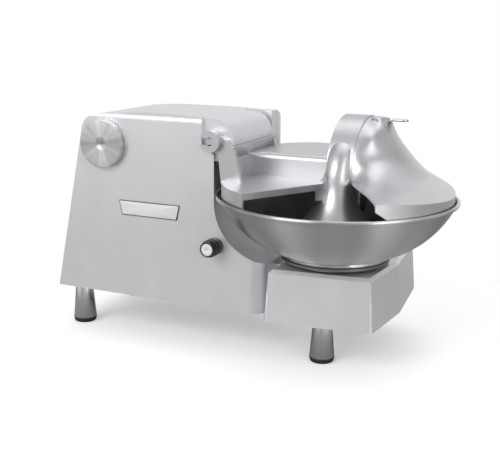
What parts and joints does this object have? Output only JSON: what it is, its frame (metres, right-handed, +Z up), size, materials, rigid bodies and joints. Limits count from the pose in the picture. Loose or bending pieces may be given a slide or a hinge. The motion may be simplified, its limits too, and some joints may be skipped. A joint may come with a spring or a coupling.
{
  "type": "meat bowl cutter",
  "caption": "Bench-top bowl cutter for meat: turning stainless bowl, hinged cast cover over curved knives, motor housing with an attachment hub, on short legs.",
  "frame": {"origin": "on the worktop under the middle of the machine's outline", "axes": "+X to the operator's right, from the motor housing to the bowl; +Y away from the operator; +Z up"},
  "size_m": [0.8116, 0.4572, 0.461],
  "materials": {
    "cast": "brushed and lacquered aluminium casting, satin",
    "cover_cast": "polished aluminium casting, satin",
    "stainless": "spun stainless steel, fine turning marks",
    "polished": "polished stainless steel",
    "sheet": "plain steel sheet",
    "iron": "machined cast iron",
    "steel": "ground steel",
    "bronze": "gear bronze",
    "motor_paint": "dark grey motor enamel",
    "black_rubber": "black rubber",
    "black_plastic": "black moulded plastic",
    "white_plastic": "white plastic cap",
    "plate_white": "white enamelled plate, bare"
  },
  "bodies": {
    "frame": {"housing": "cast", "bowl_support": "cast", "housing_bottom_plate": "sheet", "support_bottom_plate": "sheet", "legs": "stainless", "rubber_feet": "black_rubber", "badge_plate": "plate_white", "switch_bezel": "black_plastic", "attachment_hub": "iron", "motor_frame": "motor_paint", "motor_end_bells": "motor_paint", "motor_bearings": "steel", "motor_stator": "iron", "run_capacitor": "black_plastic", "shaft_carrier": "iron", "carrier_bearing": "steel", "drive_belt": "black_rubber", "worm_bearings": "steel", "spindle_bearings": "steel", "spindle_seal": "black_rubber", "hinge_pin": "polished", "support_bolts": "steel", "motor_bolts": "steel", "hub_screws": "steel", "housing_plate_screws": "steel", "support_plate_screws": "steel", "capacitor_bracket": "sheet"},
    "knife_unit": {"knife_shaft": "steel", "knife_sleeve": "polished", "knife_left": "steel", "knife_right": "steel", "knife_spacer": "polished", "knife_nut": "polished", "motor_rotor": "steel", "motor_fan": "black_plastic", "hub_worm": "steel", "drive_pulley": "iron"},
    "worm_unit": {"worm_shaft": "steel", "worm_pulley": "iron"},
    "bowl_unit": {"bowl": "stainless", "bowl_drive_plate": "iron", "bowl_spindle": "steel", "worm_wheel": "bronze"},
    "hub_unit": {"hub_drive_shaft": "steel", "hub_worm_wheel": "bronze"},
    "cover": {"bowl_cover": "cover_cast", "lift_tab": "polished"},
    "plug": {"hub_plug": "polished"},
    "knob": {"switch_knob": "black_plastic"}
  },
  "joints": [
    {"name": "knife_spin", "type": "hinge", "parent": "frame", "child": "knife_unit", "pos_m": [0.1772, 0.112, 0.345], "axis": [1, 0, 0], "continuous": true},
    {"name": "worm_spin", "type": "hinge", "parent": "frame", "child": "worm_unit", "pos_m": [0.1772, 0.055, 0.137], "axis": [1, 0, 0], "continuous": true},
    {"name": "bowl_spin", "type": "hinge", "parent": "frame", "child": "bowl_unit", "pos_m": [0.1772, 0, 0.2], "axis": [0, 0, 1], "continuous": true},
    {"name": "hub_spin", "type": "hinge", "parent": "frame", "child": "hub_unit", "pos_m": [-0.2818, 0, 0.397], "axis": [0, 1, 0], "continuous": true},
    {"name": "cover_hinge", "type": "hinge", "parent": "frame", "child": "cover", "pos_m": [-0.0408, 0, 0.416], "axis": [0, -1, 0], "range_deg": [0, 105]},
    {"name": "hub_plug_pull", "type": "slide", "parent": "frame", "child": "plug", "axis": [0, -1, 0], "range_m": [0, 0.08]},
    {"name": "switch_pull", "type": "slide", "parent": "frame", "child": "knob", "axis": [0, -1, 0], "range_m": [0, 0.008]}
  ],
  "couplings": [
    {"joint": "worm_spin", "follows": "knife_spin", "ratio": 0.76923},
    {"joint": "bowl_spin", "follows": "knife_spin", "ratio": 0.012821},
    {"joint": "hub_spin", "follows": "knife_spin", "ratio": 0.11111}
  ]
}
